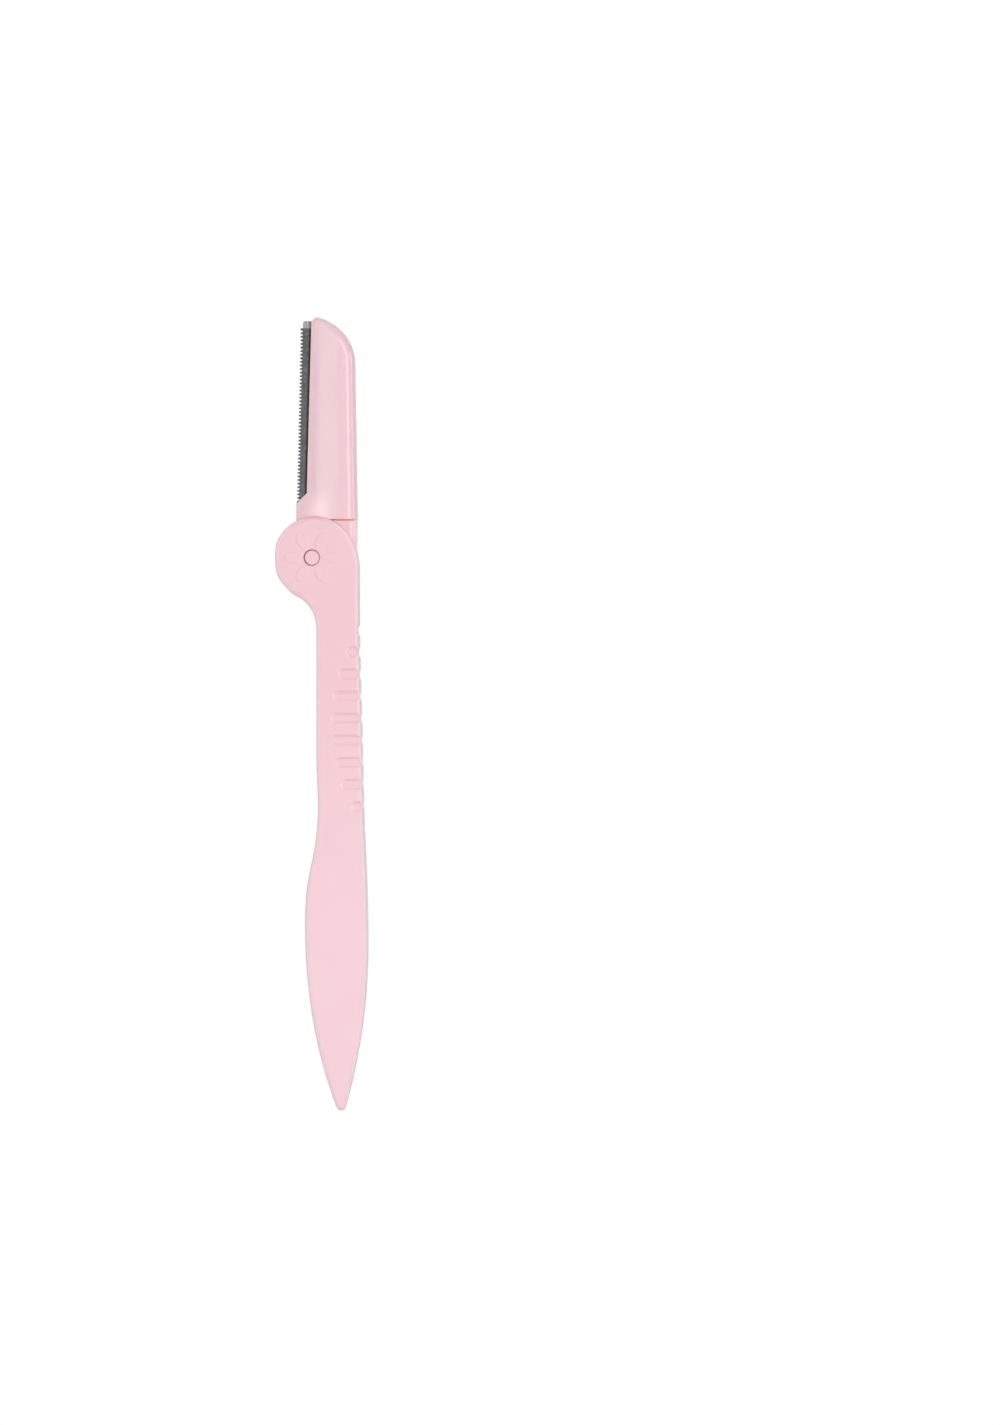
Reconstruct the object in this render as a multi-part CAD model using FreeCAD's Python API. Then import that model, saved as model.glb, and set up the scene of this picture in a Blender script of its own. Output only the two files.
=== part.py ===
import FreeCAD, Part
import math
import os

# Folding eyebrow razor, lying on its back, opened out straight.
# The origin is on the hinge axis in the plane of the back face: X across, Y towards the blade tip, Z up.
# All sizes are in millimetres.

V = FreeCAD.Vector
Z_AXIS = V(0, 0, 1)

# Handle thickness and hinge stack
HANDLE_T = 6.0
EAR_T = 1.2
SIDE_CLEAR = 0.1
MID_Z = HANDLE_T / 2
GAP_T = HANDLE_T - 2 * EAR_T
TONGUE_T = GAP_T - 2 * SIDE_CLEAR
HEEL_T = 3.2
HEEL_ROUND = 1.2

# Ears, neck, shoulder and the edge with the slot
EAR_X = 0.5
EAR_R = 7.85
EAR_FLAT_ANGLE = 28.0
EAR_FLAT_CUT = 0.29
NECK_ANGLE = 41.0
NECK_MIDDLE = (-3.0, -7.26, -24.5)
NECK_END_Y = -13.6
SLOT_EDGE_X = 0.83
SPINE_STEP = 0.53
SHOULDER_EXTRA_R = 4.15
EDGE_ROUND = 0.9

# Outline of the grip as places with a heading in degrees, down the slot edge and up the spine
SLOT_EDGE_END_Y = -38.0
WAIST = (1.12, -47.5, -90.0)
FLARE = (-0.34, -59.2, -103.1)
BELLY = (-1.38, -70.1, -90.0)
BELLY_SPINE = (10.53, -74.2, 90.0)
GRIP_SPINE = (9.56, -40.6, 90.9)
SPINE_TOP_Y = -8.0
TIP_X = 5.43
TIP_Y = -104.5
TIP_R = 0.95
TIP_LEFT_SLOPE = 20.5
TIP_SPINE_SLOPE = 15.8

# The grip thins out towards the tip
TAPER_START_Y = -52.0
TIP_T = 2.8

# Finger grooves on both faces and scallops down the spine
GROOVE_PITCH = 4.2
GROOVE_FIRST_Y = -17.9
GROOVE_ENDS_X = [6.35, 4.9, 3.9, 3.5, 3.55, 4.3, 5.4, 7.3]
GROOVE_W = 2.1
GROOVE_WALL = 0.38
GROOVE_DEPTH = 0.22
SCALLOP_R = 2.0
SCALLOP_TOP_DEPTH = 0.38
SCALLOP_LOW_DEPTH = 0.1

# Head that carries the blade
HEAD_T = 3.5
HEAD_TOP = (0.9, 46.13)
HEAD_TOP_SLOPE = 14.0
HEAD_NOSE = (8.13, 37.4)
HEAD_ROUND = 1.65
HEAD_STEP_Y = 7.4
HEAD_SPINE_X = 8.6
BLADE_SIDE_TOP = (-0.24, 45.3)
BLADE_SIDE_LOW = (-1.14, 12.4)
HEEL_EDGE_X = -3.13
FACE_CREASE_X = 5.0
FACE_EDGE_T = 1.8
FACE_CROWN = 0.15
RIM_CHAMFER = 0.3
THIN_X = 3.4

# Tongue, heel and the room they turn in
TONGUE_R = 6.3
HEEL_STOP_Y = 1.2
HEEL_LOW_X = 8.45
STEP_GROOVE_W = 0.26
STEP_GROOVE_DEPTH = 0.4
STOP_CLEAR = 0.06
TURN_CLEAR = 0.3
FOLD_CLEAR = 0.4
SLOT_END_R = 1.4

# Pin
PIN_R = 1.44
PIN_PRESS_CLEAR = 0.01
PIN_RUN_CLEAR = 0.05
PIN_RECESS = 0.12
PIN_CHAMFER = 0.14

# Blade and the comb guard folded round its edge
BLADE_LEAN = 1.25
BLADE_AT = (-3.08, 10.84)
BLADE_T = 0.28
BLADE_EDGE_IN = 0.42
BLADE_BEVEL = 0.75
BLADE_BACK = 4.5
BLADE_TAIL = 0.6
BLADE_TOP = 34.6
BLADE_CORNER = 0.25
SHEET_T = 0.15
SHEET_FIT = 0.01
FOLD_CHAMFER = 0.17
GUARD_W = 4.2
GUARD_L = 33.2
GUARD_TAIL = 0.4
SLIT_PITCH = 0.685
SLIT_FIRST = 0.42
SLIT_COUNT = 1 + int((GUARD_L - SLIT_FIRST) / SLIT_PITCH)
SLIT_DEPTH = 0.52
SLIT_ROOT_W = 0.16
SLIT_MOUTH_W = 0.54
SEAT_CLEAR = 0.02
PEG_R = 0.8
PEG_IN = 3.15
PEGS_ALONG = [5.0, 28.0]

# Reach of the cutters, and how level a front or back face is
FAR = 60.0
LEVEL = 0.85


def flat_face(edges):
    """A face in the XY plane from edges given in order."""
    return Part.Face(Part.Wire(edges))


def slab(face, low, high):
    """A flat face raised from one height to another."""
    return face.translated(V(0, 0, low)).extrude(V(0, 0, high - low))


def centred(face, thickness):
    """A flat face made into a plate about the middle plane of the razor."""
    return slab(face, MID_Z - thickness / 2, MID_Z + thickness / 2)


def block(x0, y0, x1, y1):
    """A rectangular face."""
    return Part.Face(Part.makePolygon([V(x0, y0), V(x1, y0), V(x1, y1), V(x0, y1), V(x0, y0)]))


def disc(x, y, r):
    """A round face."""
    return flat_face([Part.Circle(V(x, y), Z_AXIS, r).toShape()])


def on_circle(x, y, r, degrees):
    """A point on a circle."""
    angle = math.radians(degrees)
    return V(x + r * math.cos(angle), y + r * math.sin(angle))


def arc(x, y, r, start, end):
    """An arc of a circle through its middle, angles in degrees."""
    middle = (start + end) / 2
    points = [on_circle(x, y, r, a) for a in (start, middle, end)]
    return Part.Arc(*points).toShape()


def line(a, b):
    """A straight edge."""
    return Part.LineSegment(a, b).toShape()


def swing(a, b):
    """The turn from one direction to another, in radians, positive to the left."""
    return math.atan2(a.x * b.y - a.y * b.x, a.dot(b))


def bow(start, end, lean):
    """An arc that leaves its chord by an angle, to the left if positive."""
    if abs(lean) < 1e-6:
        return line(start, end)
    chord = end - start
    left = V(-chord.y, chord.x)
    return Part.Arc(start, (start + end) * 0.5 + left * (math.tan(lean / 2) / 2), end).toShape()


def two_arcs(start, start_way, end, end_way):
    """Two tangent arcs that join two points with a set direction at each."""
    across = end - start
    both = start_way + end_way
    bend = 2 - 2 * start_way.dot(end_way)
    if bend < 1e-9:
        reach = across.dot(across) / (4 * across.dot(end_way))
    else:
        reach = math.sqrt(across.dot(both) ** 2 + bend * across.dot(across)) - across.dot(both)
        reach = reach / bend
    joint = (start + start_way * reach + end - end_way * reach) * 0.5
    first = swing(joint - start, start_way)
    second = swing(end - joint, end_way)
    return [bow(start, joint, first), bow(joint, end, -second)]


def smooth_run(places):
    """Tangent arcs through places, each given as x, y and a heading in degrees."""
    edges = []
    for (x0, y0, a0), (x1, y1, a1) in zip(places, places[1:]):
        edges += two_arcs(V(x0, y0), on_circle(0, 0, 1, a0), V(x1, y1), on_circle(0, 0, 1, a1))
    return edges


def handle_outline():
    """Ear, neck, slot edge, leaf-shaped grip and spine as one smooth loop."""
    flat = on_circle(EAR_X, 0, EAR_R, 180 - EAR_FLAT_ANGLE)
    flat_start = (flat.x, flat.y, -90 - EAR_FLAT_ANGLE)
    flat_middle = (EAR_X - EAR_R + EAR_FLAT_CUT, 0, -90.0)
    flat_end = (flat.x, -flat.y, EAR_FLAT_ANGLE - 90)
    neck = on_circle(EAR_X, 0, EAR_R, 180 + NECK_ANGLE)
    spine_top_x = EAR_X + EAR_R + SPINE_STEP
    shoulder_x = EAR_X - SHOULDER_EXTRA_R + SPINE_STEP
    shoulder_y = -math.sqrt(SHOULDER_EXTRA_R ** 2 - (EAR_X - shoulder_x) ** 2)
    shoulder_angle = math.degrees(math.atan2(-shoulder_y, EAR_X - shoulder_x))
    tip_left = on_circle(TIP_X, TIP_Y, TIP_R, 180 + TIP_LEFT_SLOPE)
    tip_spine = on_circle(TIP_X, TIP_Y, TIP_R, -TIP_SPINE_SLOPE)
    left_end = (tip_left.x, tip_left.y, TIP_LEFT_SLOPE - 90)
    spine_start = (tip_spine.x, tip_spine.y, 90 - TIP_SPINE_SLOPE)
    spine_end = (spine_top_x, SPINE_TOP_Y, 90.0)
    edges = [arc(EAR_X, 0, EAR_R, shoulder_angle, 180 - EAR_FLAT_ANGLE)]
    edges += smooth_run([flat_start, flat_middle, flat_end])
    edges.append(arc(EAR_X, 0, EAR_R, 180 + EAR_FLAT_ANGLE, 180 + NECK_ANGLE))
    edges += smooth_run([(neck.x, neck.y, NECK_ANGLE - 90), NECK_MIDDLE, (SLOT_EDGE_X, NECK_END_Y, -90.0)])
    edges.append(line(V(SLOT_EDGE_X, NECK_END_Y), V(SLOT_EDGE_X, SLOT_EDGE_END_Y)))
    edges += smooth_run([(SLOT_EDGE_X, SLOT_EDGE_END_Y, -90.0), WAIST, FLARE, BELLY, left_end])
    edges.append(arc(TIP_X, TIP_Y, TIP_R, 180 + TIP_LEFT_SLOPE, 360 - TIP_SPINE_SLOPE))
    edges += smooth_run([spine_start, BELLY_SPINE, GRIP_SPINE, spine_end])
    edges.append(line(V(spine_top_x, SPINE_TOP_Y), V(spine_top_x, shoulder_y)))
    edges.append(arc(shoulder_x, shoulder_y, EAR_R + SHOULDER_EXTRA_R, 0, shoulder_angle))
    return flat_face(edges)


def thickness_body():
    """Side view of the grip, even at the hinge and thin at the tip, made wide."""
    run = TAPER_START_Y - TIP_Y + TIP_R
    drop = (HANDLE_T - TIP_T) / 2
    radius = (run ** 2 + drop ** 2) / (2 * drop)
    edges = []
    ends = []
    for sign in (1, -1):
        top = V(0, FAR, MID_Z + sign * HANDLE_T / 2)
        bend = [V(0, TAPER_START_Y - d, top.z - sign * (radius - math.sqrt(radius ** 2 - d ** 2)))
                for d in (0, run / 2, run + TIP_R)]
        edges += [line(top, bend[0]), Part.Arc(*bend).toShape()]
        ends.append((top, bend[2]))
    edges += [line(ends[0][0], ends[1][0]), line(ends[0][1], ends[1][1])]
    wire = Part.Wire(Part.__sortEdges__(edges))
    return Part.Face(wire).translated(V(-FAR, 0, 0)).extrude(V(2 * FAR, 0, 0))


def turning_room():
    """The gap between the ears and the slot that takes the folded blade."""
    slot_x = -HEEL_EDGE_X + FOLD_CLEAR
    slot_y = -HEAD_TOP[1] - 2 * TURN_CLEAR
    corner_x = slot_x - SLOT_END_R
    corner_y = slot_y + SLOT_END_R
    slot = flat_face([
        line(V(-FAR, slot_y), V(corner_x, slot_y)),
        arc(corner_x, corner_y, SLOT_END_R, 270, 360),
        line(V(slot_x, corner_y), V(slot_x, HEEL_STOP_Y)),
        line(V(slot_x, HEEL_STOP_Y), V(-FAR, HEEL_STOP_Y)),
        line(V(-FAR, HEEL_STOP_Y), V(-FAR, slot_y)),
    ])
    room = centred(slot, GAP_T)
    room = room.fuse(centred(disc(0, 0, TONGUE_R + TURN_CLEAR), GAP_T))
    return room.fuse(centred(block(-FAR, HEEL_STOP_Y, FAR, FAR), GAP_T)).removeSplitter()


def finger_groove(y, end_x):
    """A flat-floored trough with sloping walls and a round end, on the front face."""
    low = GROOVE_W / 2 - GROOVE_WALL
    high = GROOVE_W / 2 + GROOVE_WALL
    start = V(end_x + GROOVE_W / 2, y, HANDLE_T - GROOVE_DEPTH)
    lift = 2 * GROOVE_DEPTH
    corners = [start + V(0, a, b) for a, b in ((-low, 0), (low, 0), (high, lift), (-high, lift))]
    run = Part.Face(Part.makePolygon(corners + corners[:1])).extrude(V(FAR, 0, 0))
    return run.fuse(Part.makeCone(low, high, lift, start))


def spine_x(y, outline):
    """Where the spine is at a height along the grip."""
    ray = line(V(TIP_X, y), V(FAR, y))
    return outline.OuterWire.distToShape(ray)[1][0][0].x


def grip_cutters(outline):
    """Grooves on both faces and a scallop for each of them, with one more scallop at each end."""
    cutters = []
    for i, end_x in enumerate(GROOVE_ENDS_X):
        groove = finger_groove(GROOVE_FIRST_Y - i * GROOVE_PITCH, end_x)
        cutters += [groove, groove.mirror(V(0, 0, MID_Z), Z_AXIS)]
    last = len(GROOVE_ENDS_X) + 1
    for i in range(last + 1):
        y = GROOVE_FIRST_Y - (i - 1) * GROOVE_PITCH
        depth = SCALLOP_TOP_DEPTH + (SCALLOP_LOW_DEPTH - SCALLOP_TOP_DEPTH) * i / last
        x = spine_x(y, outline) + SCALLOP_R - depth
        cutters.append(Part.makeCylinder(SCALLOP_R, HANDLE_T, V(x, y, 0)))
    return cutters


def ear_holes():
    """Running holes for the pin with a small countersink at each face."""
    r = PIN_R + PIN_RUN_CLEAR
    holes = [Part.makeCylinder(r, HANDLE_T)]
    holes.append(Part.makeCone(r + PIN_CHAMFER, r, PIN_CHAMFER))
    holes.append(Part.makeCone(r, r + PIN_CHAMFER, PIN_CHAMFER, V(0, 0, HANDLE_T - PIN_CHAMFER)))
    return holes


def edge_middle(edge):
    """The point half way along an edge."""
    return edge.valueAt((edge.FirstParameter + edge.LastParameter) / 2)


def levelness(face):
    """0 for a wall and 1 for a face square to the hinge axis."""
    u0, u1, v0, v1 = face.ParameterRange
    return abs(face.normalAt((u0 + u1) / 2, (v0 + v1) / 2).z)


def is_level(face):
    """Is this a front or back face, and not a wall?"""
    return levelness(face) > LEVEL


def is_sloping(face):
    """Is this a face between level and upright?"""
    return 1 - LEVEL < levelness(face) < LEVEL


def borders(body, test):
    """The edges where a face that passes a test meets one that doesn't."""
    return [e for e in body.Edges if len({test(f) for f in body.ancestorsOfType(e, Part.Face)}) == 2]


def round_over(body, radius):
    """Rounds the front and back outline with three facets that touch an arc."""
    eighth, sixteenth = math.tan(math.pi / 8), math.tan(math.pi / 16)
    body = body.makeChamfer(radius * (1 - eighth), borders(body, is_level))
    return body.makeChamfer(radius * (eighth - sixteenth), borders(body, is_sloping))


def make_handle():
    """Grip with two ears, rounded all round, slotted and grooved."""
    outline = handle_outline()
    body = slab(outline, 0, HANDLE_T).common(thickness_body())
    body = round_over(body, EDGE_ROUND)
    return body.cut([turning_room()] + ear_holes() + grip_cutters(outline))


def head_plan():
    """Blade back seen from the front, down to the part that runs between the ears."""
    side_top = V(*BLADE_SIDE_TOP)
    side_low = V(*BLADE_SIDE_LOW)
    spine_heading = math.degrees(math.atan2(HEAD_STEP_Y - HEAD_NOSE[1], HEAD_SPINE_X - HEAD_NOSE[0]))
    heel_top = V(HEEL_EDGE_X, side_low.y - side_low.x + HEEL_EDGE_X)
    nose = smooth_run([(*HEAD_TOP, -HEAD_TOP_SLOPE), (*HEAD_NOSE, spine_heading)])
    corners = [V(*HEAD_NOSE), V(HEAD_SPINE_X, HEAD_STEP_Y), V(THIN_X, HEAD_STEP_Y), V(THIN_X, 0)]
    corners += [V(HEEL_EDGE_X, 0), heel_top, side_low, side_top, V(*HEAD_TOP)]
    return flat_face(nose + [line(a, b) for a, b in zip(corners, corners[1:])])


def face_cutter(sign):
    """What is taken off one face so that the head thins in a crown towards the blade."""
    crease = V(FACE_CREASE_X, -FAR, HEAD_T / 2)
    edge = V(HEEL_EDGE_X, -FAR, FACE_EDGE_T / 2)
    middle = (crease + edge) * 0.5 + V(0, 0, FACE_CROWN)
    beyond = edge + (edge - middle)
    high = V(0, 0, FAR)
    edges = [Part.Arc(crease, middle, edge).toShape(), line(edge, beyond), line(beyond, beyond + high)]
    edges += [line(beyond + high, crease + high), line(crease + high, crease)]
    cutter = Part.Face(Part.Wire(edges)).extrude(V(0, 2 * FAR, 0))
    if sign < 0:
        cutter = cutter.mirror(V(0, 0, 0), Z_AXIS)
    return cutter.translated(V(0, 0, MID_Z))


def is_spine_rim(edge):
    """Is this a front or back edge of the head's nose or spine?"""
    middle = edge_middle(edge)
    on_face = abs(abs(middle.z - MID_Z) - HEAD_T / 2) < 1e-6
    nose_or_spine = middle.y > HEAD_STEP_Y + 1e-6 and middle.x > HEAD_TOP[0]
    return on_face and nose_or_spine


def is_blade_rim(edge):
    """Is this a front or back edge of the head beside the guard?"""
    middle = edge_middle(edge)
    low = V(*BLADE_SIDE_LOW)
    side = V(*BLADE_SIDE_TOP) - low
    share = (middle.y - low.y) / side.y
    on_side = abs(middle.x - low.x - share * side.x) < 1e-3
    return on_side and 0 < share < 1 and abs(middle.z - MID_Z) > FACE_EDGE_T / 2


def to_blade(shape):
    """Puts a shape drawn along the blade in its place: X from the comb tips, Y along the edge."""
    shape.rotate(V(0, 0, 0), Z_AXIS, -BLADE_LEAN)
    shape.translate(V(BLADE_AT[0], BLADE_AT[1], MID_Z))
    return shape


def strip(x0, y0, x1, y1, thickness):
    """A plate in the blade's own frame."""
    return slab(block(x0, y0, x1, y1), -thickness / 2, thickness / 2)


def pegs(radius):
    """Upright rods where the plastic passes through the steel."""
    rods = [Part.makeCylinder(radius, HEAD_T, V(PEG_IN, y, -HEAD_T / 2)) for y in PEGS_ALONG]
    return rods[0].fuse(rods[1:])


def guard_thickness():
    """Overall thickness of the folded sheet."""
    return BLADE_T + 2 * (SHEET_FIT + SHEET_T)


def blade_seat():
    """The slot in the head that the steel sits in, with the pegs left standing."""
    c = SEAT_CLEAR
    wide = strip(-FAR, -GUARD_TAIL - c, GUARD_W + c, GUARD_L + c, guard_thickness() + 2 * c)
    deep = strip(-FAR, -BLADE_TAIL - c, BLADE_BACK + c, BLADE_TOP + c, BLADE_T + 2 * c)
    return to_blade(wide.fuse(deep).cut(pegs(PEG_R)))


def make_heel():
    """The thin plate below the step that stops against the handle's spine."""
    low = HEEL_STOP_Y + STOP_CLEAR
    plan = [V(0, low), V(HEEL_LOW_X, low), V(HEAD_SPINE_X, HEAD_STEP_Y), V(0, HEAD_STEP_Y)]
    heel = centred(Part.Face(Part.makePolygon(plan + plan[:1])), HEEL_T)
    outer = [e for e in heel.Edges if e.BoundBox.XMin > HEEL_LOW_X - 1e-6]
    return heel.makeFillet(HEEL_ROUND, [e for e in outer if e.BoundBox.YLength > HEEL_ROUND])


def step_grooves():
    """A narrow groove at the foot of the step on both faces."""
    plan = block(THIN_X, HEAD_STEP_Y - STEP_GROOVE_W, HEAD_SPINE_X + STEP_GROOVE_W, HEAD_STEP_Y)
    return centred(plan, HANDLE_T).cut(centred(plan, HEEL_T - 2 * STEP_GROOVE_DEPTH))


def make_blade_head():
    """Crowned blade back with its tongue, heel and blade slot."""
    body = centred(head_plan(), HEAD_T)
    body = body.makeFillet(HEAD_ROUND, [e for e in body.Edges if is_spine_rim(e)])
    body = body.cut([face_cutter(1), face_cutter(-1)])
    body = body.makeChamfer(RIM_CHAMFER, [e for e in body.Edges if is_blade_rim(e)])
    tongue = centred(disc(0, 0, TONGUE_R), TONGUE_T)
    body = body.fuse([make_heel(), tongue]).removeSplitter()
    hole = Part.makeCylinder(PIN_R + PIN_PRESS_CLEAR, HANDLE_T)
    return body.cut([blade_seat(), step_grooves(), hole])


def make_pivot_pin():
    """Plain pin, a little short of both faces."""
    pin = Part.makeCylinder(PIN_R, HANDLE_T - 2 * PIN_RECESS, V(0, 0, PIN_RECESS))
    rims = [e for e in pin.Edges if isinstance(e.Curve, Part.Circle)]
    return pin.makeChamfer(PIN_CHAMFER, rims)


def make_blade():
    """Steel strip ground to an edge on both sides."""
    half = BLADE_T / 2
    edge = BLADE_EDGE_IN
    ground = edge + BLADE_BEVEL
    points = [(edge, 0), (ground, half), (BLADE_BACK, half), (BLADE_BACK, -half), (ground, -half)]
    corners = [V(x, -BLADE_TAIL, z) for x, z in points]
    blade = Part.Face(Part.makePolygon(corners + corners[:1]))
    blade = blade.extrude(V(0, BLADE_TOP + BLADE_TAIL, 0))
    nip = [V(0, BLADE_TOP - BLADE_CORNER - edge), V(BLADE_CORNER + edge, BLADE_TOP), V(0, BLADE_TOP)]
    nip = slab(Part.Face(Part.makePolygon(nip + nip[:1])), -half, half)
    return to_blade(blade.cut([nip, pegs(PEG_R + SEAT_CLEAR)]))


def slit(y):
    """One gap of the comb, wider at its mouth, cut through the fold."""
    root = SLIT_ROOT_W / 2
    mouth = SLIT_MOUTH_W / 2
    points = [V(0, y - mouth), V(SLIT_DEPTH, y - root), V(SLIT_DEPTH, y + root), V(0, y + mouth)]
    return slab(Part.Face(Part.makePolygon(points + points[:1])), -guard_thickness(), guard_thickness())


def fold_profile(nose_x, half, chamfer, end_x):
    """A strip's section across the blade with its folded edge chamfered."""
    points = [(end_x, -half), (nose_x + chamfer, -half), (nose_x, chamfer - half),
              (nose_x, half - chamfer), (nose_x + chamfer, half), (end_x, half)]
    corners = [V(x, -GUARD_TAIL, z) for x, z in points]
    return Part.Face(Part.makePolygon(corners + corners[:1]))


def make_blade_guard():
    """Sheet folded round the cutting edge and slit into a comb."""
    run = V(0, GUARD_L + GUARD_TAIL, 0)
    half = guard_thickness() / 2
    inner_chamfer = FOLD_CHAMFER - SHEET_T * (2 - math.sqrt(2))
    outer = fold_profile(0, half, FOLD_CHAMFER, GUARD_W).extrude(run)
    inner = fold_profile(SHEET_T, half - SHEET_T, inner_chamfer, GUARD_W + SHEET_T).extrude(run)
    slits = [slit(SLIT_FIRST + i * SLIT_PITCH) for i in range(SLIT_COUNT)]
    return to_blade(outer.cut([inner] + slits + [pegs(PEG_R + SEAT_CLEAR)]))


PIECES = {
    "handle": make_handle,
    "blade_head": make_blade_head,
    "pivot_pin": make_pivot_pin,
    "blade": make_blade,
    "blade_guard": make_blade_guard,
}

os.makedirs("parts", exist_ok=True)
for node, make in PIECES.items():
    shape = make()
    solid = shape.Solids[0]
    assert len(shape.Solids) == 1 and solid.isValid(), node
    solid.exportStep("parts/" + node + ".step")
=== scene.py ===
import math

import bpy
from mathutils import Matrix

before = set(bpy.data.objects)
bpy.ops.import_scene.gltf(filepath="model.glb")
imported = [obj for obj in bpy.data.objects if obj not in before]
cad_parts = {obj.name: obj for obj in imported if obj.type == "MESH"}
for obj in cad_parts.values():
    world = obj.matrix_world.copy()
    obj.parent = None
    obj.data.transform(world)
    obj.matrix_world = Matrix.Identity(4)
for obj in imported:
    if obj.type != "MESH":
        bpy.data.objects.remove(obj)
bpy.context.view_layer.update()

scene = bpy.context.scene
scene.view_settings.view_transform = "Standard"

# Lengths on the part are in millimetres, and those of the floor and lamps in metres
MM = 0.001
FRONT_Z = 6.0
MID_Z = FRONT_Z / 2

# The photograph's frame, the place of the hinge axis in it, and the camera
PHOTO_W, PHOTO_H = 1000, 1425
MM_PER_PIXEL = 0.19
PIVOT_PIXEL = (311.8, 557.6)
CAMERA_RISE = 450.0
SENSOR = 36.0

# Floor, with the share of its glow under the razor and far away
WHITE = (1, 1, 1, 1)
FLOOR_HALF = 4.0
FLOOR_DROP = 0.05 * MM
PAPER_WHITES = ((0.90, 0.90, 0.90, 1), (0.92, 0.92, 0.92, 1))
GLOW_STRENGTH = 1.05
GLOW_SPAN = (0.2, 0.8)
GLOW_SHARES = (0.88, 1.0)

# Surround from the horizon to overhead, and the point that the lamps stand round
SKY_LOW, SKY_HIGH = 0.06, 0.20
LAMP_Y = -0.03
LAMP_REACH = 0.8
WATTS_PER_RADIANCE = 4

# Lean from straight above and turn from the right in degrees, width, length and radiance of each lamp
LAMPS = {
    "box_left": (12, 180, 0.115, 0.7, 1.8),
    "box_right": (10, 0, 0.34, 0.7, 2.85),
    "side_left": (60, 180, 0.3, 0.8, 2.0),
    "side_right": (64, 0, 0.3, 0.8, 2.3),
    "side_top": (64, 90, 0.3, 0.8, 1.4),
    "side_low": (60, 270, 0.3, 0.8, 0.8),
}

# Rounding of edges in the shading, and how far it may lower the upright value of a flat face
SOFT_SAMPLES = 6
ROUNDING_SLACK = 0.08

# Spans of a noise that are spread over a change of colour or roughness
CLOUD_SPAN = (0.2, 0.8)
ROUGH_SPAN = (0.25, 0.75)
RUB_SPAN = (0.3, 0.7)

# Finish of the plastics and metals, as least and most roughness
PLASTIC_IOR = 1.5
SATIN_ROUGH = (0.30, 0.37)
GLOSS_ROUGH = (0.07, 0.11)
GUARD_ROUGH = (0.30, 0.46)
BLADE_ROUGH = (0.30, 0.42)

# Flower on the front of the ear
PETALS = 6
PETAL_MID_R = 3.6
PETAL_HALF_L = 1.75
PETAL_HALF_W = 1.05
PETAL_EDGE = (1.2, 0.6)
PETAL_Z = (5.2, 5.6)
PETAL_HEIGHT = 0.05

# Handle colours: a tone from ear to tip and a cloud, plus painted shade in the grooves, on the side walls
# and in the ring round the pin, and a painted highlight on the rounded rims
EAR_PINK = (0.830, 0.522, 0.578, 1)
TIP_PINK = (0.875, 0.592, 0.652, 1)
HANDLE_CLOUD_PINK = (0.80, 0.485, 0.545, 1)
GROOVE_SHADE_PINK = (0.845, 0.485, 0.545, 1)
RIM_HIGHLIGHT_PINK = (0.90, 0.68, 0.72, 1)
SIDE_SHADE_PINK = (0.60, 0.44, 0.48, 1)
HEEL_SIDE_SHADE_PINK = (0.68, 0.40, 0.44, 1)
RING_SHADE = (0.56, 0.25, 0.29, 1)
RING_LIT = (0.90, 0.49, 0.53, 1)

# Where the handle's colours lie, by place or by how upright the surface is, and their shares, which place
# the painted light and shade
EAR_TO_TIP_Y = (-5.0, -95.0)
HANDLE_CLOUD_SHARE = 0.08
GROOVE_DEPTH = (0.03, 0.20)
GROOVES_END_Y = (-51.0, -50.0)
GROOVE_UPRIGHT = (0.80, 0.99)
GROOVE_SHADE_SHARE = 0.4
RIM_UPRIGHT = (0.99, 0.93)
RIM_ACROSS = (0.08, 0.3)
RIM_HIGHLIGHT_SHARE = 0.8
SIDE_UPRIGHT = (0.72, 0.40)
SIDE_SHADE_SHARE = 0.65
HEEL_SIDE_X = (2.0, 4.0)
HEEL_SIDE_Y = (1.0, 3.0)
RING_R = (2.4, 2.0)
RING_UPRIGHT = (0.95, 0.75)
RING_X = (-1.6, 1.6)

# Head colours: the spine side's own pink and a cloud, plus a painted reflection on the blade side, painted
# light on the heel, in hollows and low on the blade side, a painted highlight on the blade-side edge, and
# painted shade on the spine's rounding, in crevices and on the walls
BLADE_SIDE_REFLECTION_PINK = (0.775, 0.540, 0.580, 1)
SPINE_SIDE_PINK = (0.87, 0.575, 0.632, 1)
HEAD_CLOUD_PINK = (0.82, 0.51, 0.565, 1)
SPINE_SHADE_PINK = (0.77, 0.515, 0.565, 1)
LOW_LIT_PINK = (0.90, 0.61, 0.65, 1)
HOLLOW_LIT_PINK = (1.0, 0.60, 0.63, 1)
FOOT_HIGHLIGHT_PINK = (0.97, 0.73, 0.76, 1)
CREVICE_SHADE_PINK = (0.95, 0.38, 0.41, 1)
EDGE_HIGHLIGHT_PINK = (0.90, 0.70, 0.73, 1)
WALL_SHADE_PINK = (0.74, 0.58, 0.62, 1)

# Where the head's colours lie, and their shares, which place the painted light, shade and reflection
FACE_X = (3.6, 5.6)
HEAD_CLOUD_SHARE = 0.10
SPINE_ACROSS = (0.3, 0.7)
LOW_Y = (7.6, 7.2)
LOW_LIT_SHARE = 0.8
HOLLOW_REACH = 2.0
HOLLOW_OPEN = (0.92, 0.45)
CREVICE_OPEN = (0.45, 0.2)
FOOT_Y = (14.0, 8.5)
FOOT_X = (4.5, 0.8)
FOOT_SHARE_X = (-2.0, 1.0)
FOOT_HIGHLIGHT_SHARES = (0.2, 0.8)
EDGE_UPRIGHT = (0.97, 0.80)
EDGE_X = (1.0, 0.0)
WALL_UPRIGHT = (0.75, 0.45)
WALL_SHADE_SHARE = 0.5

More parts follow.
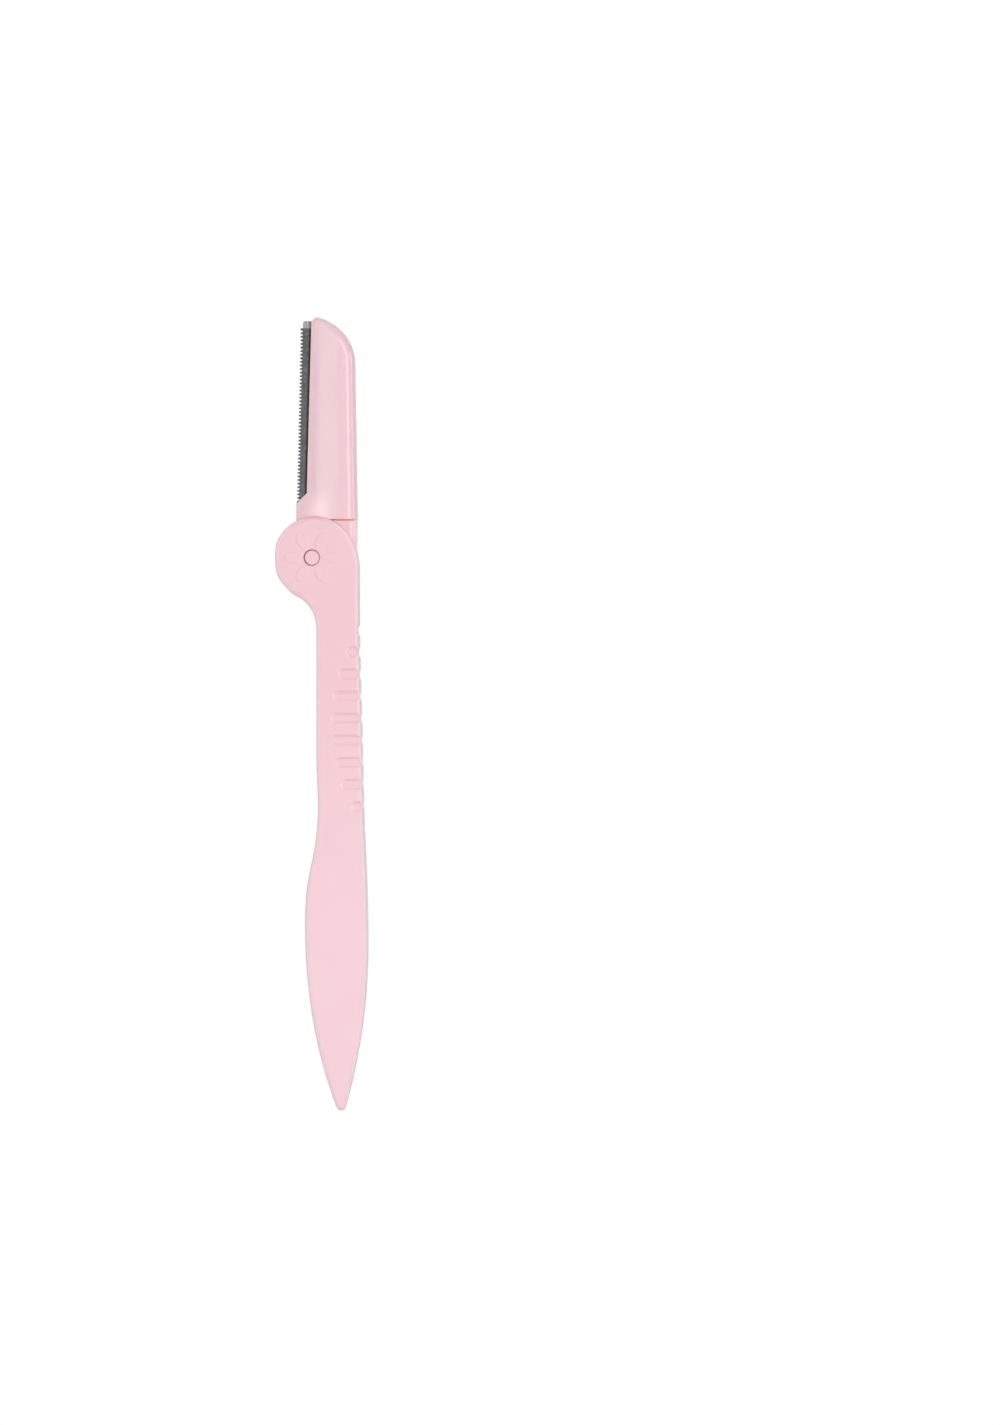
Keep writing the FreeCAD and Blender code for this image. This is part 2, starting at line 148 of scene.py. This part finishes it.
# The head's edge beside the steel: its X level with the hinge axis, and how much X grows with Y
SEAM_X = -1.478
SEAM_SLOPE = 0.0273

# Guard colours, where they lie and their shares; the seam grey is a painted shadow along the head's edge
OXIDE_DARK = (0.038, 0.038, 0.041, 1)
OXIDE_RUBBED = (0.075, 0.075, 0.080, 1)
OXIDE_CLOUD = (0.05, 0.048, 0.05, 1)
OXIDE_CLOUD_SHARE = 0.35
FLECK_GREY = (0.115, 0.118, 0.13, 1)
FLECK_SPAN = (0.52, 0.68)
FLECK_SHARE = 0.45
GUARD_SEAM_SHADOW_GREY = (0.02, 0.013, 0.014, 1)
GUARD_SEAM_SHADOW = (0.6, 0.28)

# Blade colours, where they lie and their shares; the seam grey is a painted shadow along the head's edge
STEEL_DARK = (0.24, 0.232, 0.255, 1)
STEEL_LIGHT = (0.34, 0.328, 0.355, 1)
STEEL_CLOUD = (0.19, 0.18, 0.20, 1)
STEEL_CLOUD_SPAN = (0.35, 0.7)
STEEL_CLOUD_SHARE = 0.3
BLADE_SEAM_SHADOW_GREY = (0.10, 0.075, 0.085, 1)
BLADE_SEAM_SHADOW = (1.3, 0.2)


def make_camera():
    """Looks straight down on the front face from above the middle of the frame."""
    data = bpy.data.cameras.new("camera")
    data.sensor_width = SENSOR
    data.sensor_fit = "AUTO"
    data.lens = SENSOR * CAMERA_RISE / (PHOTO_H * MM_PER_PIXEL)
    camera = bpy.data.objects.new("camera", data)
    x = (PHOTO_W / 2 - PIVOT_PIXEL[0]) * MM_PER_PIXEL
    y = (PIVOT_PIXEL[1] - PHOTO_H / 2) * MM_PER_PIXEL
    camera.location = (x * MM, y * MM, (FRONT_Z + CAMERA_RISE) * MM)
    scene.collection.objects.link(camera)
    scene.camera = camera


class Graph:
    """A node tree that is filled by naming each node, its settings and what goes into it."""

    # Colour sockets of a Mix node, whose names its other kinds of socket have too
    MIX_A, MIX_B, MIX_RESULT = 6, 7, 2

    def __init__(self, tree):
        self.tree = tree
        tree.nodes.clear()

    def add(self, kind, inputs=None, **settings):
        """A new node. Each input is another node's output or a plain value."""
        node = self.tree.nodes.new("ShaderNode" + kind)
        for key, value in settings.items():
            setattr(node, key, value)
        for key, value in (inputs or {}).items():
            if isinstance(value, bpy.types.NodeSocket):
                self.tree.links.new(value, node.inputs[key])
            else:
                node.inputs[key].default_value = value
        return node

    def math(self, operation, a, b=0.0, c=0.0):
        return self.add("Math", {0: a, 1: b, 2: c}, operation=operation).outputs[0]

    def plus(self, a, b):
        return self.math("ADD", a, b)

    def minus(self, a, b):
        return self.math("SUBTRACT", a, b)

    def times(self, a, b):
        return self.math("MULTIPLY", a, b)

    def absolute(self, a):
        return self.math("ABSOLUTE", a)

    def squares(self, a, b):
        """The sum of two squares."""
        return self.plus(self.times(a, a), self.times(b, b))

    def split(self, vector):
        """A vector's X, Y and Z."""
        return self.add("SeparateXYZ", {0: vector}).outputs

    def noise(self, place, scale, detail=2.0, rough=0.5, stretch=(1, 1, 1)):
        """A cloudy pattern from 0 to 1, finer along an axis whose stretch is larger."""
        sized = self.add("VectorMath", {0: place, 1: stretch}, operation="MULTIPLY").outputs[0]
        inputs = {"Vector": sized, "Scale": scale, "Detail": detail, "Roughness": rough}
        return self.add("TexNoise", inputs).outputs["Fac"]

    def ramp(self, value, span, least=0.0, most=1.0):
        """Goes smoothly from least to most as the value goes from the span's first end to its second."""
        inputs = {"Value": value, "From Min": span[0], "From Max": span[1], "To Min": least, "To Max": most}
        return self.add("MapRange", inputs, interpolation_type="SMOOTHSTEP").outputs["Result"]

    def blend(self, share, a, b):
        """Colour a where the share is 0, and b where it is 1."""
        node = self.add("Mix", {"Factor": share, self.MIX_A: a, self.MIX_B: b}, data_type="RGBA")
        return node.outputs[self.MIX_RESULT]

    def bump(self, pattern, normal, height, strength):
        """A normal that shows a pattern as relief, with its height in millimetres."""
        inputs = {"Height": pattern, "Distance": height * MM, "Strength": strength, "Normal": normal}
        return self.add("Bump", inputs).outputs["Normal"]

    def surface(self, colour, rough, normal, **constants):
        """Ends a material with the usual shader, whose other inputs are constants."""
        inputs = {"Base Color": colour, "Roughness": rough, "Normal": normal, **constants}
        self.finish(self.add("BsdfPrincipled", inputs).outputs[0])

    def finish(self, shader):
        self.add("OutputMaterial", {"Surface": shader})


def new_material(name):
    material = bpy.data.materials.new(name)
    material.use_nodes = True
    return material, Graph(material.node_tree)


def place_mm(g):
    """Position on the part in millimetres."""
    at = g.add("TexCoord").outputs["Object"]
    return g.add("VectorMath", {0: at, "Scale": 1 / MM}, operation="SCALE").outputs[0]


def soft_edges(g, radius):
    """A normal that runs round the edges."""
    return g.add("Bevel", {"Radius": radius * MM}, samples=SOFT_SAMPLES).outputs[0]


def in_part(g, normal):
    """X, Y and Z of a normal in the part's own frame, which turns with its body."""
    turned = g.add("VectorTransform", {0: normal}, vector_type="NORMAL",
                   convert_from="WORLD", convert_to="OBJECT")
    return g.split(turned.outputs[0])


def tilt(g, rounded):
    """How upright a surface is, from 0 for a wall to 1 for a front or back face, and its lean across."""
    across, _, rise = in_part(g, rounded)
    true_rise = in_part(g, g.add("NewGeometry").outputs["True Normal"])[2]
    least = g.minus(g.absolute(true_rise), ROUNDING_SLACK)
    return g.math("MAXIMUM", g.absolute(rise), least), across


def petals(g, x, y, z, out):
    """Raised petals round the pin, on the front face only."""
    sector = 2 * math.pi / PETALS
    # A whole turn keeps the angle above 0, and half a sector puts the middle of a petal there
    angle = g.plus(g.math("ARCTAN2", y, x), (PETALS + 0.5) * sector)
    off_middle = g.minus(g.math("MODULO", angle, sector), sector / 2)
    from_middle = g.minus(g.times(out, g.math("COSINE", off_middle)), PETAL_MID_R)
    along = g.math("DIVIDE", from_middle, PETAL_HALF_L)
    across = g.math("DIVIDE", g.times(out, g.math("SINE", off_middle)), PETAL_HALF_W)
    leaf = g.ramp(g.squares(along, across), PETAL_EDGE)
    return g.times(leaf, g.ramp(z, PETAL_Z))


def handle_plastic():
    """Satin pink moulding with a faint flower round the pin, and painted light and shade on its rims,
    walls, grooves and pin ring.
    """
    material, g = new_material("handle_plastic")
    at = place_mm(g)
    x, y, z = g.split(at)
    out = g.math("SQRT", g.squares(x, y))
    cloud = g.noise(at, scale=0.12, detail=1.0)
    grain = g.noise(at, scale=5.0)
    rounded = soft_edges(g, radius=0.2)
    upright, across = tilt(g, rounded)

    depth = g.minus(MID_Z, g.absolute(g.minus(z, MID_Z)))
    groove_shade = g.times(g.ramp(depth, GROOVE_DEPTH), g.ramp(y, GROOVES_END_Y))
    groove_shade = g.times(groove_shade, g.ramp(upright, GROOVE_UPRIGHT))
    rim_highlight = g.times(g.ramp(upright, RIM_UPRIGHT), g.ramp(g.absolute(across), RIM_ACROSS, most=RIM_HIGHLIGHT_SHARE))
    by_heel = g.times(g.ramp(x, HEEL_SIDE_X), g.ramp(y, HEEL_SIDE_Y))
    side_shade = g.ramp(upright, SIDE_UPRIGHT, most=SIDE_SHADE_SHARE)
    ring_shading = g.times(g.ramp(out, RING_R), g.ramp(upright, RING_UPRIGHT))

    pink = g.blend(g.ramp(y, EAR_TO_TIP_Y), EAR_PINK, TIP_PINK)
    pink = g.blend(g.ramp(cloud, CLOUD_SPAN, most=HANDLE_CLOUD_SHARE), pink, HANDLE_CLOUD_PINK)
    # Painted shade: the floors of the grip grooves pinker and darker
    pink = g.blend(g.times(groove_shade, GROOVE_SHADE_SHARE), pink, GROOVE_SHADE_PINK)
    # Painted highlight: the rounded rims, leaning sideways, lighter
    pink = g.blend(rim_highlight, pink, RIM_HIGHLIGHT_PINK)
    # Painted shade: the steep side walls darker and greyer, and redder next to the heel
    pink = g.blend(side_shade, pink, g.blend(by_heel, SIDE_SHADE_PINK, HEEL_SIDE_SHADE_PINK))
    # Painted shade in the gap round the pin, darker on the left and lighter on the right as if lit from the
    # right
    pink = g.blend(ring_shading, pink, g.blend(g.ramp(x, RING_X), RING_SHADE, RING_LIT))

    normal = g.bump(petals(g, x, y, z, out), rounded, height=PETAL_HEIGHT, strength=1.0)
    normal = g.bump(grain, normal, height=0.01, strength=0.35)
    g.surface(pink, g.ramp(cloud, ROUGH_SPAN, *SATIN_ROUGH), normal, IOR=PLASTIC_IOR)
    return material


def head_plastic():
    """Glossy pink moulding with a little flow waviness, and painted reflection, light and shade by place,
    lean and hollowness.
    """
    material, g = new_material("head_plastic")
    at = place_mm(g)
    x, y = g.split(at)[:2]
    cloud = g.noise(at, scale=0.16, detail=1.0)
    wave = g.noise(at, scale=0.35, detail=1.0, stretch=(1.6, 0.5, 1))
    grain = g.noise(at, scale=7.0)
    rounded = soft_edges(g, radius=0.3)
    upright, across = tilt(g, rounded)
    occlusion = g.add("AmbientOcclusion", {"Distance": HOLLOW_REACH * MM}, samples=SOFT_SAMPLES)
    openness = occlusion.outputs["AO"]

    low = g.ramp(y, LOW_Y)
    foot_highlight = g.times(g.ramp(y, FOOT_Y), g.ramp(x, FOOT_X))
    foot_highlight = g.times(foot_highlight, g.ramp(x, FOOT_SHARE_X, *FOOT_HIGHLIGHT_SHARES))
    edge = g.times(g.ramp(upright, EDGE_UPRIGHT), g.ramp(x, EDGE_X))
    wall = g.times(g.ramp(upright, WALL_UPRIGHT, most=WALL_SHADE_SHARE), g.minus(1.0, low))

    # Painted reflection: the blade side of the face greyer and whiter than the spine side
    pink = g.blend(g.ramp(x, FACE_X), BLADE_SIDE_REFLECTION_PINK, SPINE_SIDE_PINK)
    pink = g.blend(g.ramp(cloud, CLOUD_SPAN, most=HEAD_CLOUD_SHARE), pink, HEAD_CLOUD_PINK)
    # Painted shade: faces leaning right, over the spine's rounding, darker
    pink = g.blend(g.ramp(across, SPINE_ACROSS), pink, SPINE_SHADE_PINK)
    # Painted light: the heel below the step lighter and pinker
    pink = g.blend(g.times(low, LOW_LIT_SHARE), pink, LOW_LIT_PINK)
    # Painted light: partly hidden places lighter and redder, by ambient occlusion
    pink = g.blend(g.ramp(openness, HOLLOW_OPEN), pink, HOLLOW_LIT_PINK)
    # Painted highlight: the lower blade side of the head lighter
    pink = g.blend(foot_highlight, pink, FOOT_HIGHLIGHT_PINK)
    # Painted shade: the most hidden places, such as the step and the ear's edge, dark red
    pink = g.blend(g.ramp(openness, CREVICE_OPEN), pink, CREVICE_SHADE_PINK)
    # Painted highlight: the leaning edge on the blade side lighter
    pink = g.blend(edge, pink, EDGE_HIGHLIGHT_PINK)
    # Painted shade: steep walls above the step darker and greyer
    pink = g.blend(wall, pink, WALL_SHADE_PINK)

    normal = g.bump(wave, rounded, height=0.03, strength=0.5)
    normal = g.bump(grain, normal, height=0.004, strength=0.3)
    g.surface(pink, g.ramp(cloud, ROUGH_SPAN, *GLOSS_ROUGH), normal, IOR=PLASTIC_IOR)
    return material


def from_seam(g, at):
    """How far a place on the steel is from the head's edge, towards the cutting edge."""
    x, y = g.split(at)[:2]
    return g.minus(g.math("MULTIPLY_ADD", y, SEAM_SLOPE, SEAM_X), x)


def guard_metal():
    """Dark oxide sheet, rubbed along its length, with a painted shadow where it enters the plastic."""
    material, g = new_material("guard_metal")
    at = place_mm(g)
    rub = g.noise(at, scale=1.2, detail=4.0, rough=0.6, stretch=(6, 0.5, 6))
    cloud = g.noise(at, scale=0.3)
    fleck = g.noise(at, scale=1.6)

    grey = g.blend(g.ramp(rub, RUB_SPAN), OXIDE_DARK, OXIDE_RUBBED)
    grey = g.blend(g.ramp(cloud, RUB_SPAN, most=OXIDE_CLOUD_SHARE), grey, OXIDE_CLOUD)
    grey = g.blend(g.ramp(fleck, FLECK_SPAN, most=FLECK_SHARE), grey, FLECK_GREY)
    # Painted shadow of the head's edge on the guard
    grey = g.blend(g.ramp(from_seam(g, at), GUARD_SEAM_SHADOW), grey, GUARD_SEAM_SHADOW_GREY)

    normal = g.bump(rub, g.add("NewGeometry").outputs["Normal"], height=0.004, strength=0.6)
    g.surface(grey, g.ramp(rub, ROUGH_SPAN, *GUARD_ROUGH), normal, Metallic=1.0)
    return material


def blade_steel():
    """Grey strip steel with grinding lines across it, with a painted shadow where it enters the plastic."""
    material, g = new_material("blade_steel")
    at = place_mm(g)
    lines = g.noise(at, scale=2.0, detail=4.0, rough=0.65, stretch=(0.4, 8, 1))
    cloud = g.noise(at, scale=0.6)

    steel = g.blend(g.ramp(lines, RUB_SPAN), STEEL_DARK, STEEL_LIGHT)
    steel = g.blend(g.ramp(cloud, STEEL_CLOUD_SPAN, most=STEEL_CLOUD_SHARE), steel, STEEL_CLOUD)
    # Painted shadow of the head's edge on the blade
    steel = g.blend(g.ramp(from_seam(g, at), BLADE_SEAM_SHADOW), steel, BLADE_SEAM_SHADOW_GREY)

    normal = g.bump(lines, g.add("NewGeometry").outputs["Normal"], height=0.002, strength=0.6)
    g.surface(steel, g.ramp(lines, ROUGH_SPAN, *BLADE_ROUGH), normal, Metallic=1.0)
    return material


def dress(node, material):
    """Gives a CAD node its material."""
    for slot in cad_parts[node].material_slots:
        slot.material = material


def shown(g):
    """1 for rays from the camera, and for those that a mirror or glass sends on."""
    path = g.add("LightPath").outputs
    seen = g.math("MAXIMUM", path["Is Camera Ray"], path["Is Glossy Ray"])
    return g.math("MAXIMUM", seen, path["Is Transmission Ray"])


def make_floor():
    """White floor just under the razor, which keeps its shadow."""
    mesh = bpy.data.meshes.new("floor")
    half = FLOOR_HALF
    corners = [(-half, -half, 0), (half, -half, 0), (half, half, 0), (-half, half, 0)]
    mesh.from_pydata(corners, [], [(0, 1, 2, 3)])
    floor = bpy.data.objects.new("floor", mesh)
    floor.location.z = -FLOOR_DROP
    scene.collection.objects.link(floor)

    material, g = new_material("floor_white")
    at = g.add("TexCoord").outputs["Object"]
    distance = g.add("VectorMath", {0: at}, operation="LENGTH").outputs["Value"]
    share = g.times(shown(g), g.ramp(distance, GLOW_SPAN, *GLOW_SHARES))
    paper = g.blend(g.noise(at, scale=30.0), *PAPER_WHITES)
    diffuse = g.add("BsdfDiffuse", {"Color": paper}).outputs[0]
    glow = g.add("Emission", {"Color": WHITE, "Strength": GLOW_STRENGTH}).outputs[0]
    g.finish(g.add("MixShader", {0: share, 1: diffuse, 2: glow}).outputs[0])
    mesh.materials.append(material)


def soft_box(name, lean, turn, width, length, radiance):
    """A rectangular lamp that leans from straight above, is turned from the right and faces the razor."""
    data = bpy.data.lights.new(name, "AREA")
    data.shape = "RECTANGLE"
    data.size = width
    data.size_y = length
    data.energy = WATTS_PER_RADIANCE * radiance * width * length
    lamp = bpy.data.objects.new(name, data)
    lean, turn = math.radians(lean), math.radians(turn)
    across = LAMP_REACH * math.sin(lean)
    rise = LAMP_REACH * math.cos(lean)
    lamp.location = (across * math.cos(turn), LAMP_Y + across * math.sin(turn), rise)
    lamp.rotation_euler = (0, lean, turn)
    scene.collection.objects.link(lamp)


def make_light():
    """A surround that is brighter overhead and shows as white, and the lamps."""
    world = bpy.data.worlds.new("surround")
    world.use_nodes = True
    scene.world = world
    g = Graph(world.node_tree)
    up = g.split(g.add("TexCoord").outputs["Generated"])[2]
    sky = g.ramp(up, (0.0, 1.0), SKY_LOW, SKY_HIGH)
    strength = g.plus(sky, g.times(shown(g), g.minus(1.0, sky)))
    surround = g.add("Background", {"Color": WHITE, "Strength": strength}).outputs[0]
    g.add("OutputWorld", {"Surface": surround})
    for name, lamp in LAMPS.items():
        soft_box(name, *lamp)


make_camera()
make_floor()
make_light()
satin = handle_plastic()
dress("handle", satin)
dress("pivot_pin", satin)
dress("blade_head", head_plastic())
dress("blade_guard", guard_metal())
dress("blade", blade_steel())
